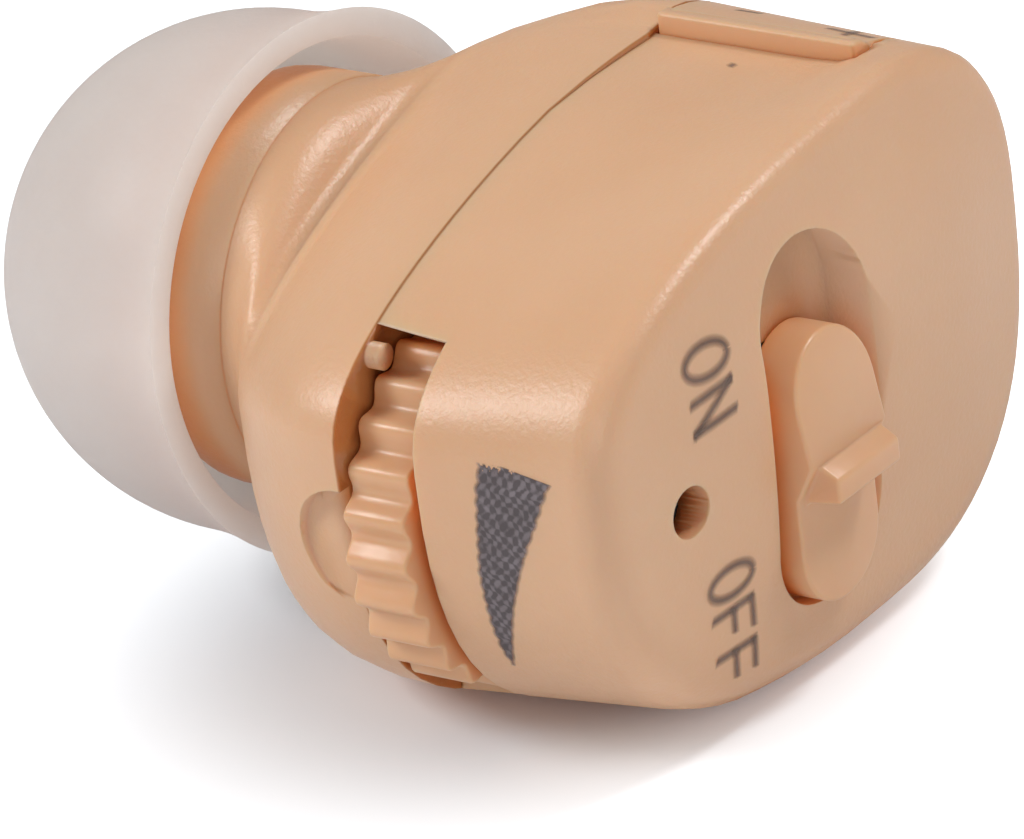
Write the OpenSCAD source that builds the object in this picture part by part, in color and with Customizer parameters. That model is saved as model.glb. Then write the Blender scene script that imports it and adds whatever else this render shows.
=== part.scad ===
// In-ear hearing amplifier: two moulded shells, a soft ear tip, a thumbwheel for the volume,
// a power slider and a hinged battery door, with the pieces that work inside them.
// Before it is set down, the part lies round the sound bore: the bore runs along Y at x = 0 and z = 0,
// and the seam between the two shells is at y = 0. The face looks towards -Y and the ear tip towards +Y.

/* [Shell outline] */
// Middle of the shell's outline to the right of the sound bore
outline_x = 2.2; // [1.8:0.1:2.6]
// Middle of the shell's outline above the sound bore
outline_z = 0.2; // [-0.2:0.1:0.6]
// Squareness of the outline, where 2 is an ellipse
outline_power = 2.56; // [2.3:0.02:2.9]
// Reach of the face to the left of its middle
face_left = 9.7; // [9.2:0.1:10.2]
// Reach of the face to the right of its middle
face_right = 6.1; // [5.7:0.1:6.3]
// Reach of the face above its middle
face_top = 4.7; // [4.4:0.05:5]
// Reach of the face below its middle
face_bottom = 7; // [6.7:0.05:7.2]
// Rise of the face's upper edge towards the right, as a slope
face_slope_top = 0.08; // [0.06:0.01:0.12]
// Rise of the face's lower edge towards the right, as a slope
face_slope_bottom = 0.03; // [0:0.01:0.06]
// Reach of the seam to the left of its middle
seam_left = 9.9; // [9.4:0.1:10.4]
// Reach of the seam to the right of its middle
seam_right = 6.4; // [6.2:0.1:6.6]
// Reach of the seam above its middle
seam_top = 4.5; // [4.2:0.05:4.7]
// Reach of the seam below its middle
seam_bottom = 6.7; // [6.3:0.05:6.9]
// Rise of the seam's upper edge towards the right, as a slope
seam_slope_top = 0.17; // [0.1:0.01:0.2]
// Rise of the seam's lower edge towards the right, as a slope
seam_slope_bottom = 0.17; // [0.12:0.01:0.22]

/* [Shell depth] */
// Wall of both shells
wall = 0.8; // [0.7:0.05:0.9]
// Depth of the front shell from the seam to the edge of the face
face_depth = 6.4; // [6.2:0.1:7]
// Height of the face's dome over its edge
face_dome = 0.65; // [0.4:0.05:0.8]
// Edge radius of the face at the upper left, where it is crisp
edge_crisp = 0.5; // [0.4:0.05:0.9]
// Edge radius of the face at the lower right, where it is soft
edge_soft = 1.4; // [1:0.1:1.6]
// Shoulder of the rear shell behind the seam
shoulder_y = 3.9; // [3.6:0.1:4.2]
// Reach of the shoulder to the left of its middle
shoulder_left = 7.1; // [6.7:0.1:7.5]
// Reach of the shoulder to the right of its middle
shoulder_right = 4.6; // [4.4:0.1:5]
// Reach of the shoulder above its middle
shoulder_top = 4.0; // [3.8:0.1:4.2]
// Reach of the shoulder below its middle
shoulder_bottom = 5.6; // [5.3:0.1:5.9]
// Rise of the shoulder's outline towards the right, as a slope
shoulder_slope = 0.27; // [0.2:0.01:0.3]
// Shift of the shoulder's middle to the left of the outline's middle
shoulder_shift_x = 0.8; // [0.5:0.1:1.1]
// Shift of the shoulder's middle below the outline's middle
shoulder_shift_z = 0.3; // [0:0.1:0.5]

/* [Neck and spigot] */
// Station of the crease where the flare meets the neck
crease_y = 5.4; // [5.2:0.1:5.6]
// Depth of the crease in the neck
crease_depth = 0.06; // [0.05:0.01:0.2]
// Station of the neck's rounded end
neck_end = 7.8; // [7.6:0.1:8]
// Rounding of the neck's end
neck_round = 1.1; // [0.6:0.1:1.4]
// Radius of the spigot that carries the ear tip
spigot_r = 2.1; // [2:0.05:2.3]
// Station of the spigot's end
spigot_end = 11.6; // [11.4:0.1:11.8]
// Rise of the bead round the spigot
bead_rise = 0.1; // [0.05:0.01:0.14]
// Width of the bead round the spigot
bead_w = 0.7; // [0.5:0.1:0.9]

/* [Ear tip] */
// Radius of the dome at its middle
tip_r = 5.55; // [5.4:0.05:5.7]
// Reach of the dome's nose past the spigot
nose_reach = 1.25; // [1.15:0.05:1.35]
// Length of the dome's skirt in front of its middle
skirt_l = 1.65; // [1.5:0.05:1.9]
// Flare of the skirt over its length
skirt_flare = 0.26; // [0.1:0.02:0.4]
// Turn of the skirt's open end, which is longer at the right
skirt_turn = 4; // [0:0.5:10]
// Turn of the skirt's open end, which is a little shorter at the top
skirt_lean = -1.5; // [-4:0.5:4]
// Wall of the dome
tip_wall = 0.6; // [0.5:0.05:0.65]
// Gap between the neck and the inside of the dome
tip_gap = 0.5; // [0.4:0.05:0.6]
// Wall of the collar that grips the spigot
collar_wall = 0.75; // [0.6:0.05:0.9]
// Radius of the sound outlet in the nose
outlet_r = 1.2; // [1:0.05:1.3]

/* [Volume control] */
// Radius of the thumbwheel over its ribs
wheel_r = 4.0; // [3.8:0.05:4.1]
// Width of the thumbwheel
wheel_w = 1.5; // [1.3:0.05:1.6]
// How far the thumbwheel stands out at the left of the seam
wheel_proud = 0.25; // [0.15:0.05:0.35]
// Middle of the thumbwheel below the outline's middle
wheel_drop = 2.05; // [1.8:0.05:2.3]
// Gap between the thumbwheel and the rear shell
wheel_back = 0.1; // [0.08:0.01:0.15]
// Number of ribs round the thumbwheel
rib_count = 26; // [22:1:30]
// Depth of the valleys between the ribs
rib_depth = 0.27; // [0.2:0.01:0.3]
// Width of the slot that the thumbwheel looks out of
slot_w = 1.9; // [1.8:0.05:2]
// Level upper end of the slot over the wheel's middle
slot_rise = 4.29; // [4.2:0.03:4.5]
// Angle of the slot's lower end round the wheel
slot_to = 262; // [250:1:268]
// Radius of the volume control's body
pot_r = 2.2; // [2:0.05:2.3]
// Radius of the round finger recess beside the wheel
finger_r = 1.38; // [1.2:0.02:1.5]
// Depth of the finger recess
finger_depth = 0.38; // [0.3:0.02:0.46]
// Slant of the finger recess, which follows the bowl
finger_turn = 6; // [3:1:8]

/* [Power switch] */
// Middle of the switch to the left of the outline's middle
switch_left = 2.65; // [2.6:0.05:2.9]
// Middle of the switch below the outline's middle
switch_drop = 1.1; // [0.9:0.05:1.2]
// Width of the recess
recess_w = 3.68; // [3.5:0.02:3.8]
// Length of the recess
recess_l = 8.1; // [7.7:0.05:8.2]
// Depth of the recess under the top of the face's dome
recess_depth = 1.1; // [1:0.05:1.2]
// Floor under the recess
recess_floor = 0.5; // [0.4:0.05:0.6]
// Travel of the slider from off to on
travel = 1.9; // [1.6:0.05:2.1]
// Running gap of the slider and its stem
slider_gap = 0.12; // [0.08:0.01:0.2]
// Width of the slider
slider_w = 2.8; // [2.6:0.05:3]
// Height of the slider over the recess's floor
slider_h = 1.05; // [0.9:0.05:1.15]
// Rise of the slider's ramp from its upper end to the ridge
ramp_rise = 0.42; // [0.3:0.02:0.5]
// Width of the finger ridge across the slider
ridge_w = 2.3; // [2.2:0.05:2.6]
// Rise of the finger ridge over the top of the face's dome
ridge_rise = 0.8; // [0.6:0.05:0.9]

/* [Battery and door] */
// Radius of the round zinc-air cell
cell_r = 2.9; // [2.85:0.01:2.9]
// Height of the cell
cell_h = 3.6; // [3.5:0.05:3.6]
// Gap between the seam and the cell's cap
cell_back = 0.6; // [0.55:0.05:0.7]
// Wall of the ring that carries the cell
cradle_wall = 0.4; // [0.3:0.05:0.45]
// Length of the door along the seam's side
door_l = 5.0; // [4.9:0.05:5.1]
// Free edge of the door to the right of the outline's middle
door_edge = 2.45; // [2.3:0.05:2.6]
// Gap round the door
door_gap = 0.08; // [0.06:0.01:0.1]
// Depth of the front shell's hollow beside the door, which bares the grip edge
hollow_front = 0.4; // [0.3:0.05:0.45]
// Depth to which the hollow carries on in the rear shell
hollow_rear = 0.3; // [0.2:0.05:0.35]
// Rise of the door's grip edge over the door
lip_rise = 0.1; // [0.05:0.01:0.15]
// Width of the door's grip edge
lip_w = 0.5; // [0.4:0.05:0.6]
// Radius of the hinge barrel
barrel_r = 0.75; // [0.7:0.01:0.8]
// Radius of the hinge pin
pin_r = 0.33; // [0.3:0.01:0.36]

/* [Microphone] */
// Microphone hole to the left of the switch
mic_left = 4.5; // [4.4:0.05:4.6]
// Microphone hole below the middle of the switch
mic_drop = 0.1; // [0:0.05:0.2]
// Radius of the microphone hole in the face
mic_hole_r = 0.55; // [0.45:0.05:0.65]
// Radius of the microphone can
mic_r = 1.5; // [1.4:0.05:1.5]
// Height of the microphone can
mic_h = 1.1; // [1:0.05:1.2]
// Wall of the rubber boot round the microphone
boot_wall = 0.32; // [0.25:0.01:0.35]

/* [Receiver and sound path] */
// Turn of the receiver's corners round the bore, which sets its width and height
receiver_turn = 37.2; // [35:0.2:40]
// Length of the receiver
receiver_l = 4.6; // [4.4:0.1:4.8]
// Wall of the rubber sleeve round the receiver
sleeve_wall = 0.5; // [0.4:0.05:0.5]
// Outside radius of the sound tube
tube_r = 0.85; // [0.8:0.01:0.9]
// Wall of the sound tube
tube_wall = 0.3; // [0.25:0.01:0.35]
// Radius of the wax filter
filter_r = 1.2; // [1.1:0.05:1.3]
// Depth of the wax filter's seat
filter_h = 1.0; // [0.9:0.05:1.1]

/* [Hidden] */

// Colours as photographed, or usual for the hidden pieces
beige = "#D9AE8A";
milk = "#E3DEDA";
steel = "#C9CBCD";
gold = "#D8B56A";
board_green = "#2F6B45";
black = "#2A2A2C";
grey = "#8C8F93";
tan = "#B08A5A";

// Fineness of the lofted outlines, of round pieces and of small ones
ring_count = 72;
inner_count = 40;
round_fn = 64;
small_fn = 32;
tiny_fn = 16;
dome_steps = 20;
skirt_steps = 5;
rib_steps = 10;

// Small clearances and the overrun that lets a cut pass clean through
overrun = 0.5;
fit_gap = 0.03;
running_gap = 0.04;
contact_gap = 0.05;
loose_gap = 0.15;

// Shell forms: reach left, right, up and down, two slopes, the middle and the squareness
face_shape = [face_left, face_right, face_top, face_bottom, face_slope_top, face_slope_bottom,
    outline_x, outline_z, outline_power];
seam_shape = [seam_left, seam_right, seam_top, seam_bottom, seam_slope_top, seam_slope_bottom,
    outline_x, outline_z, outline_power];
shoulder_shape = [shoulder_left, shoulder_right, shoulder_top, shoulder_bottom, shoulder_slope,
    shoulder_slope, outline_x - shoulder_shift_x, outline_z - shoulder_shift_z, outline_power];
neck_r = tip_r - tip_wall - tip_gap;
crease_r = neck_r - crease_depth;
crease_shape = [crease_r, crease_r, crease_r, crease_r, 0, 0, 0, 0, 2];
bowl_power = 2.2;
flare_power = 2.2;
least_edge = 0.3;
hollow_spread = 4.45;
hollow_end = 1;
hollow_fade = 0.7;
crisp_turn = 20;

// Stations of the rings: 0 to 1 is the side, 1 to 2 the rounded edge and 2 to 3 the dome
front_stations = [0, 0.35, 0.65, 0.78, 0.9, 1, 1.25, 1.5, 1.75, 2, 2.3, 2.65];
front_inner_stations = [0, 0.4, 0.75, 1, 1.33, 1.67, 2, 2.5];
// Stations behind the seam: 0 to 1 is the bowl and 1 to 2 the flare
rear_stations = [0, 0.25, 0.5, 0.7, 0.85, 1, 1.12, 1.25, 1.4, 1.6, 1.8, 2];
rear_inner_stations = [0, 0.5, 0.8, 1, 1.25, 1.5, 2];

// Volume control, whose middle follows the left end of the seam
wheel_x = outline_x - seam_left - wheel_proud + wheel_r;
wheel_z = outline_z - wheel_drop;
wheel_at = [wheel_x, wheel_z];
wheel_rear = -wheel_back;
wheel_front = wheel_rear - wheel_w;
wheel_room = 0.2;
wheel_hub_r = 1.3;
wheel_web = 0.6;
wheel_rim = 1.1;
slot_reach = wheel_r + seam_left / 2;
slot_from = 99;
slot_relief = 8;
drive_r = 0.7;
journal_r = 0.58;
journal_share = 0.75;
screw_head_r = 0.95;
screw_head_h = 0.3;
screw_r = 0.3;
screw_l = 0.9;
driver_slot = 0.18;

// Circuit board, halfway down the front shell, with the volume control between it and the wheel
board_share = 0.47;
board_back = -board_share * face_depth;
board_t = 0.5;
board_front = board_back - board_t;
pot_gap = 0.2;
pot_rear = wheel_front - pot_gap;
journal_l = journal_share * (pot_rear - board_back);

// Cell, whose right side lies against the door's wall
cell_x = outline_x + face_right - wall - cell_r;
cell_z = outline_z;
cell_at = [cell_x, cell_z];
cell_rear = -cell_back;
cell_front = cell_rear - cell_h;
cap_rise = 0.35;
can_t = 0.15;
gasket_t = 0.2;
air_hole_r = 0.15;
air_hole_at = 1.1;
cradle_bore = cell_r + contact_gap;
cradle_r = cradle_bore + cradle_wall;
cradle_inset = 0.3;
board_right = cell_x - cradle_r - 1.5 * loose_gap;

// Door hinge, set in from the lower right of the outline
hinge_angle = -52;
hinge_inset = barrel_r + 2 * contact_gap;
hinge_at = outline_point(hinge_angle, face_shape, hinge_inset);
hinge_x = hinge_at[0];
hinge_z = hinge_at[1];
door_front = -door_l;
door_free_angle = -10;
door_relief = 2;
lug_w = 0.75;
pin_front = door_front - lug_w;
door_reach = seam_left;
edge_x = outline_x + door_edge;
barrel_front = door_front + door_gap;
barrel_rear = -lug_w - door_gap;
web_h = 0.9;
web_l = 2.2;
web_turn = 35;

// Switch
switch_x = outline_x - switch_left;
switch_z = outline_z - switch_drop;
face_y = -face_depth - face_dome;
recess_y = face_y + recess_depth;
floor_back = recess_y + recess_floor;
crest_y = face_y - ridge_rise;
recess_wall = 0.6;
face_tie = 0.45;
slider_l = recess_l - travel - 2 * slider_gap;
slider_z = switch_z - travel / 2;
ridge_drop = 0.02;
ridge_crest = 0.53;
ridge_side = 0.12;
ridge_slope = 0.26;
stem_w = 1.1;
stem_l = 1.5;
lever_w = 0.6;
lever_l = 0.9;
lever_in = 0.9;
switch_w = 2.3;
switch_l = 5.2;
switch_back = board_front;
switch_front = floor_back + loose_gap;

// Microphone and the posts that carry the board
mic_x = switch_x - mic_left;
mic_z = switch_z - mic_drop;
mic_at = [mic_x, mic_z];
boot_r = mic_r + boot_wall;
seat_wall = 0.3;
seat_r = boot_r + fit_gap + seat_wall;
seat_y = -face_depth + wall - loose_gap;
seat_l = 0.7;
boot_front = seat_y;
boot_face = 0.25;
mic_front = boot_front + boot_face;
mic_rear = mic_front + mic_h;
screen_r = 0.95;
screen_t = 0.12;
pin_lead_r = 0.12;
post_r = 0.5;
post_step = seat_r + post_r / 2;

// Contacts
leaf_t = 0.15;
leaf_w = 1.0;
leaf_rise = 2.1;
leaf_z = cell_z + leaf_rise;
foot_l = 0.7;
arm_positive = 2.2;
arm_negative = 3.3;

// Small parts on the board, placed round the volume control
part_gap = 0.3;
chip_w = 2.0;
chip_h = 0.7;
chip_shift = 1.55;
chip_at = [wheel_x + chip_shift, wheel_z + pot_r + (chip_w + part_gap) / 2];
capacitor_w = 0.6;
capacitor_l = 1.0;
capacitor_x = wheel_x + pot_r + part_gap;
resistor_w = 0.32;
resistor_l = 0.6;
resistor_x = capacitor_x + capacitor_w + part_gap;
row_step = 1.25;
row_count = 3;

// Neck, sound path and receiver
neck_in_r = crease_r - wall - contact_gap;
neck_in_end = neck_end - neck_round;
sleeve_corner = neck_in_r - loose_gap;
receiver_w = 2 * (sleeve_corner * cos(receiver_turn) - sleeve_wall);
receiver_h = 2 * (sleeve_corner * sin(receiver_turn) - sleeve_wall);
bead_y = spigot_end - 1.5 * bead_w;
tip_y = spigot_end + nose_reach - tip_r;
nose_y = tip_y + tip_r;
collar_bore = spigot_r + bead_rise + contact_gap / 2;
collar_r = collar_bore + collar_wall;
collar_from = neck_end + 2 * loose_gap;
collar_to = tip_y + sqrt(pow(tip_r - tip_wall, 2) - pow(collar_r, 2)) + tip_wall / 2;
sleeve_end = neck_in_end;
receiver_end = sleeve_end - sleeve_wall;
receiver_from = receiver_end - receiver_l;
sleeve_lap = 0.4;
sleeve_from = crease_y - sleeve_lap;
spout_r = tube_r - tube_wall - fit_gap;
spout_l = 0.7;
tube_bore = tube_r - tube_wall;
bore_r = tube_r + fit_gap / 2;
filter_from = spigot_end - filter_h;
filter_wall = 0.3;
filter_face = 0.25;
filter_share = 0.75;

// Locating rim and nub of the rear shell
rim_h = 0.6;
rim_t = 0.45;
rim_root = 0.8;
nub_r = 0.28;
nub_l = 0.35;
nub_angle = 147;

// Receiver leads, from the board to the receiver's terminals, with the shares of the way across,
// along and down at the points between
lead_r = 0.11;
lead_sides = 8;
lead_gap = 0.8;
lead_inset = 0.9;
lead_over = 0.45;
lead_rise = 0.6;
lead_shares = [[0.4, 0.45, 0.2], [1, 0.8, 0.85]];
terminal_l = 0.25;
terminal_w = 0.35;
terminal_h = 0.5;
lead_x = board_right - lead_inset;
lead_z = wheel_z + wheel_r + lead_over;

// The whole part's box, whose bottom middle is the origin
outer_points = [for (ring = front_rings(front_stations, 0, ring_count)) each ring];
low_x = wheel_x - wheel_r;
high_x = max([for (p = outer_points) p[0]]);
low_y = crest_y;
high_y = tip_y + sqrt(pow(tip_r, 2) - pow(outlet_r, 2));
low_z = min([for (p = outer_points) p[2]]);
mid_x = (low_x + high_x) / 2;
mid_y = (low_y + high_y) / 2;

function mix(a, b, t) = a * (1 - t) + b * t;

// Point of an outline at a turn of a degrees, moved in by some inset
function outline_point(a, s, inset) =
    let (c = cos(a), n = sin(a))
    let (u = sign(c) * pow(abs(c), 2 / s[8]), w = sign(n) * pow(abs(n), 2 / s[8]))
    let (half_x = (c > 0 ? s[1] : s[0]) - inset, half_z = (n > 0 ? s[2] : s[3]) - inset)
    let (slope = n > 0 ? s[4] : s[5])
    [s[6] + u * half_x, s[7] + w * half_z + slope * u * half_x * abs(w)];

function smooth(t) = let (k = min(max(t, 0), 1)) k * k * (3 - 2 * k);

// Depth of the hollow beside the door's free edge, which fades to the left, to the front and to the rear
function hollow(a, x, y) = sin(a) < 0 ? 0 :
    (x < edge_x ? smooth(1 - (edge_x - x) / hollow_spread) : 1 - smooth((x - edge_x) / hollow_end))
    * (y > 0 ? hollow_rear * (1 - smooth(y / shoulder_y))
        : hollow_front * (1 - smooth((hollow_fade - y - door_l) / (2 * hollow_fade))));

function edge_round(a) = mix(edge_soft, edge_crisp, sqrt((1 + sin(a + crisp_turn)) / 2));

// Point on the front shell at a turn of a degrees and a station t
function front_point(a, t, inset, hollowed = 1) =
    let (r = max(edge_round(a) - inset, least_edge), depth = face_depth - inset)
    let (side = min(t, 1), arc = 90 * min(max(t - 1, 0), 1), k = 1 - max(t - 2, 0))
    let (flat = side * (depth - r))
    let (shape = mix(seam_shape, face_shape, flat / face_depth))
    let (p = outline_point(a, shape, inset + r * (1 - cos(arc))))
    let (y = flat + r * sin(arc) + face_dome * (1 - k * k))
    [mix(outline_x, p[0], k), -y, mix(outline_z, p[1] - hollowed * hollow(a, p[0], -y), k)];

function front_rings(stations, inset, count, hollowed = 1) =
    [for (t = stations) [for (i = [0:count - 1]) front_point(-360 * i / count, t, inset, hollowed)]];

// Point on the rear shell at a turn of a degrees and a station t
function rear_point(a, t, inset) =
    let (s = max(t - 1, 0))
    let (y = t < 1 ? t * shoulder_y : mix(shoulder_y, crease_y, s))
    let (bowl = mix(seam_shape, shoulder_shape, pow(min(t, 1), bowl_power)))
    let (shape = mix(bowl, crease_shape, 1 - pow(1 - s, flare_power)))
    let (p = outline_point(a, shape, inset))
    [p[0], y, p[1] - (y > 0 ? 1 : hollow_rear / hollow_front) * hollow(a, p[0], y)];

function rear_rings(stations, inset, count) =
    [for (t = stations) [for (i = [0:count - 1]) rear_point(360 * i / count, t, inset)]];

function moved(ring, y) = [for (p = ring) [p[0], p[1] + y, p[2]]];

// Plan of the outline at the seam and at any station of the front shell, as points in X and Z
function seam_plan(inset, count) =
    [for (i = [0:count - 1]) let (p = front_point(360 * i / count, 0, inset)) [p[0], p[2]]];
function front_plan(y, inset, count) =
    [for (i = [0:count - 1])
        let (a = 360 * i / count, p = outline_point(a, mix(seam_shape, face_shape, -y / face_depth), inset))
        [p[0], p[1] - hollow(a, p[0], y)]];

// Closed solid through a stack of rings, flat at its first ring and closed on a point after its last
module loft(rings, point) {
    count = len(rings[0]);
    last = len(rings) - 1;
    start = [for (i = [count - 1:-1:0]) i];
    walls = [for (j = [0:last - 1], i = [0:count - 1])
        let (a = j * count + i, b = j * count + (i + 1) % count)
        each [[a, b, b + count], [a, b + count, a + count]]];
    fan = [for (i = [0:count - 1]) [last * count + i, last * count + (i + 1) % count, (last + 1) * count]];
    polyhedron([each [for (ring = rings) each ring], point], [start, each walls, each fan]);
}

// Round bar along Y, and a plate along Y whose plan is drawn in X and Z
module rod(r, from, to, at = [0, 0], fn = round_fn) {
    translate([at[0], from, at[1]]) rotate([-90, 0, 0]) cylinder(r = r, h = to - from, $fn = fn);
}

module slab(from, to) {
    translate([0, to, 0]) rotate([90, 0, 0]) linear_extrude(to - from) children();
}

module block(low, high) {
    translate(low) cube(high - low);
}

// Solid turned round the sound bore, from a profile drawn as radius and station
module turned() {
    rotate([-90, 0, 0]) rotate_extrude($fn = round_fn) children();
}

module stadium(w, l, at) {
    for (side = [-1, 1]) translate([at[0], at[1] + side * (l - w) / 2]) circle(d = w, $fn = round_fn);
    translate([at[0] - w / 2, at[1] - (l - w) / 2]) square([w, l - w]);
}

// Moves the part from the sound bore's frame to its own, with its lowest point at z = 0
module set_down() {
    translate([-mid_x, -mid_y, -low_z]) children();
}

module front_outside(hollowed = 1) {
    loft(front_rings(front_stations, 0, ring_count, hollowed), [outline_x, face_y, outline_z]);
}

module front_inside() {
    rings = front_rings(front_inner_stations, wall, inner_count);
    loft([moved(rings[0], overrun), each rings], [outline_x, face_y + wall, outline_z]);
}

// Space of the door in the front shell, seen along Y: between the hinge and the free edge
module door_plan(gap, low_angle) {
    top = outline_z + door_reach;
    far = hinge_x + door_reach;
    polygon([[hinge_x, hinge_z], [far, hinge_z + door_reach * tan(low_angle)], [far, top],
        [edge_x + gap, top], [edge_x + gap, outline_z]]);
}

module door_opening() {
    difference() {
        union() {
            slab(door_front, overrun) door_plan(0, door_free_angle);
            slab(door_front, -lug_w) polygon([[hinge_x, hinge_z], [hinge_x, hinge_z - door_reach],
                [hinge_x + door_reach, hinge_z - door_reach], [hinge_x + door_reach, hinge_z]]);
            rod(barrel_r + door_gap, door_front, -lug_w, hinge_at);
        }
        rod(barrel_r, -lug_w, overrun, hinge_at);
    }
}

// Plan of the slot round the wheel: level at its upper end, and radial at its lower one
module slot_plan(from, to) {
    polygon([wheel_at, wheel_at + slot_rise * [cos(from) / sin(from), 1], wheel_at + [-slot_reach, slot_rise],
        for (a = [180, (180 + to) / 2, to]) wheel_at + slot_reach * [cos(a), sin(a)]]);
}

// Slot round the left end, open towards the seam
module wheel_slot() {
    slab(-slot_w, overrun) union() {
        translate(wheel_at) circle(wheel_r + wheel_room, $fn = round_fn);
        slot_plan(slot_from, slot_to);
    }
}

module front_bosses() {
    slab(face_y + recess_depth - face_tie, floor_back)
        stadium(recess_w + 2 * recess_wall, recess_l + 2 * recess_wall, [switch_x, switch_z]);
    rod(seat_r, face_y + wall, seat_y + seat_l, mic_at);
    for (side = [-1, 1]) rod(post_r, face_y + wall, board_front, mic_at + [0, side * post_step], small_fn);
    rod(barrel_r, face_y + wall, door_front, hinge_at);
    rod(barrel_r, -lug_w, -door_gap, hinge_at);
    block([hinge_x - web_l, -lug_w, hinge_z - barrel_r], [hinge_x, -door_gap, hinge_z]);
}

module front_shell() {
    color(beige) difference() {
        front_outside();
        difference() {
            front_inside();
            front_bosses();
        }
        door_opening();
        wheel_slot();
        slab(crest_y, recess_y) stadium(recess_w, recess_l, [switch_x, switch_z]);
        block([switch_x - stem_w / 2 - slider_gap, recess_y - overrun, slider_z - stem_l / 2 - slider_gap],
            [switch_x + stem_w / 2 + slider_gap, floor_back + overrun,
                slider_z + stem_l / 2 + travel + slider_gap]);
        rod(mic_hole_r, face_y - overrun, seat_y, mic_at, small_fn);
        rod(screen_r + fit_gap, seat_y - screen_t - fit_gap, seat_y + overrun, mic_at);
        rod(boot_r + fit_gap, seat_y, mic_rear + contact_gap, mic_at);
        rod(pin_r, pin_front, overrun, hinge_at, small_fn);
    }
}

// Neck, rounded end and spigot with its bead
module neck_outside() {
    turned() polygon([[0, crease_y - loose_gap], [neck_r, crease_y - loose_gap],
        for (i = [0:6]) let (a = 15 * i)
            [neck_r - neck_round * (1 - cos(a)), neck_end - neck_round * (1 - sin(a))],
        [spigot_r, neck_end], [spigot_r, bead_y],
        for (i = [1:5]) let (a = 30 * i) [spigot_r + bead_rise * sin(a), bead_y + bead_w / 2 * (1 - cos(a))],
        [spigot_r, bead_y + bead_w], [spigot_r, spigot_end - bead_rise], [spigot_r - bead_rise, spigot_end],
        [0, spigot_end]]);
}

module rear_outside() {
    loft(rear_rings(rear_stations, 0, ring_count), [0, crease_y, 0]);
}

module rear_inside() {
    rings = rear_rings(rear_inner_stations, wall, inner_count);
    loft([moved(rings[0], -overrun), each rings], [0, crease_y, 0]);
}

// Rim that locates the rear shell inside the front shell, clear of the wheel and of the door
module locating_rim() {
    step = wall + 2 * contact_gap;
    difference() {
        union() {
            slab(-rim_h, 0) polygon(seam_plan(step, inner_count));
            slab(0, rim_root) polygon(seam_plan(wall / 2, inner_count));
        }
        slab(-rim_h - overrun, rim_root + overrun) polygon(seam_plan(step + rim_t, inner_count));
        slab(-rim_h - overrun, 0) slot_room();
        slab(-rim_h - overrun, 0) translate([hinge_x - web_l - door_gap, outline_z - door_reach])
            square([door_reach, 2 * door_reach]);
    }
}

// Plan of all that the wheel and its slot take at the left end, with room round it
module slot_room() {
    translate(wheel_at) circle(wheel_r + 2 * wheel_room, $fn = round_fn);
    slot_plan(slot_from - slot_relief, slot_to + slot_relief);
}

module rear_shell() {
    nub_at = outline_point(nub_angle, seam_shape, nub_r + door_gap);
    color(beige) union() {
        difference() {
            union() {
                rear_outside();
                neck_outside();
            }
            rear_inside();
            rod(neck_in_r, crease_y - overrun, neck_in_end);
            rod(bore_r, neck_in_end - overrun, spigot_end + overrun);
            rod(filter_r + fit_gap, filter_from, spigot_end + overrun);
            translate([outline_x - seam_left + finger_depth, 0, wheel_z]) rotate([0, -90, -finger_turn])
                cylinder(r = finger_r, h = finger_r, $fn = round_fn);
        }
        locating_rim();
        rod(nub_r, -nub_l, wall, nub_at, small_fn);
    }
}

// Dome round its own middle, moved in by some inset, with the skirt flaring out in front of it
module dome(inset, length) {
    turned() polygon([[0, -length], [0, tip_r - inset],
        for (i = [1:dome_steps]) let (a = 90 - 90 * i / dome_steps) (tip_r - inset) * [cos(a), sin(a)],
        for (i = [1:skirt_steps]) let (y = length * i / skirt_steps)
            [tip_r - inset + skirt_flare * pow(y / skirt_l, 2), -y]]);
}

// Ear tip: the dome, whose open end is cut a little askew, and the collar that grips the spigot
module ear_tip() {
    color(milk) difference() {
        union() {
            difference() {
                translate([0, tip_y, 0]) dome(0, skirt_l + tip_wall + overrun);
                translate([0, tip_y, 0]) dome(tip_wall, skirt_l + tip_wall + 2 * overrun);
                translate([0, tip_y - skirt_l, 0]) rotate([skirt_lean, 0, -skirt_turn])
                    block([-2 * tip_r, -tip_r, -2 * tip_r], [2 * tip_r, 0, 2 * tip_r]);
            }
            rod(collar_r, collar_from, collar_to);
        }
        rod(collar_bore, collar_from - overrun, spigot_end + contact_gap);
        rod(outlet_r, spigot_end, nose_y + overrun);
    }
}

module volume_wheel() {
    side_count = rib_count * rib_steps;
    color(beige) difference() {
        slab(wheel_front, wheel_rear) polygon([for (i = [0:side_count - 1]) let (a = 360 * i / side_count)
            wheel_at + (wheel_r - rib_depth / 2 * (1 - cos(rib_count * a))) * [cos(a), sin(a)]]);
        slab(wheel_front + wheel_web, wheel_rear + overrun) difference() {
            translate(wheel_at) circle(wheel_r - wheel_rim, $fn = round_fn);
            translate(wheel_at) circle(wheel_hub_r, $fn = round_fn);
        }
        rod(drive_r + fit_gap, wheel_front - overrun, wheel_rear - screw_head_h, wheel_at);
        rod(screw_head_r + fit_gap, wheel_rear - screw_head_h, wheel_rear + overrun, wheel_at);
    }
}

module wheel_screw() {
    color(steel) difference() {
        union() {
            rod(screw_head_r, wheel_rear - screw_head_h, wheel_rear, wheel_at, small_fn);
            rod(screw_r, wheel_rear - screw_head_h - screw_l, wheel_rear, wheel_at, small_fn);
        }
        for (turn = [0, 90]) translate([wheel_x, wheel_rear, wheel_z]) rotate([0, turn, 0])
            cube([screw_head_r, screw_head_h, driver_slot], center = true);
    }
}

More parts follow.
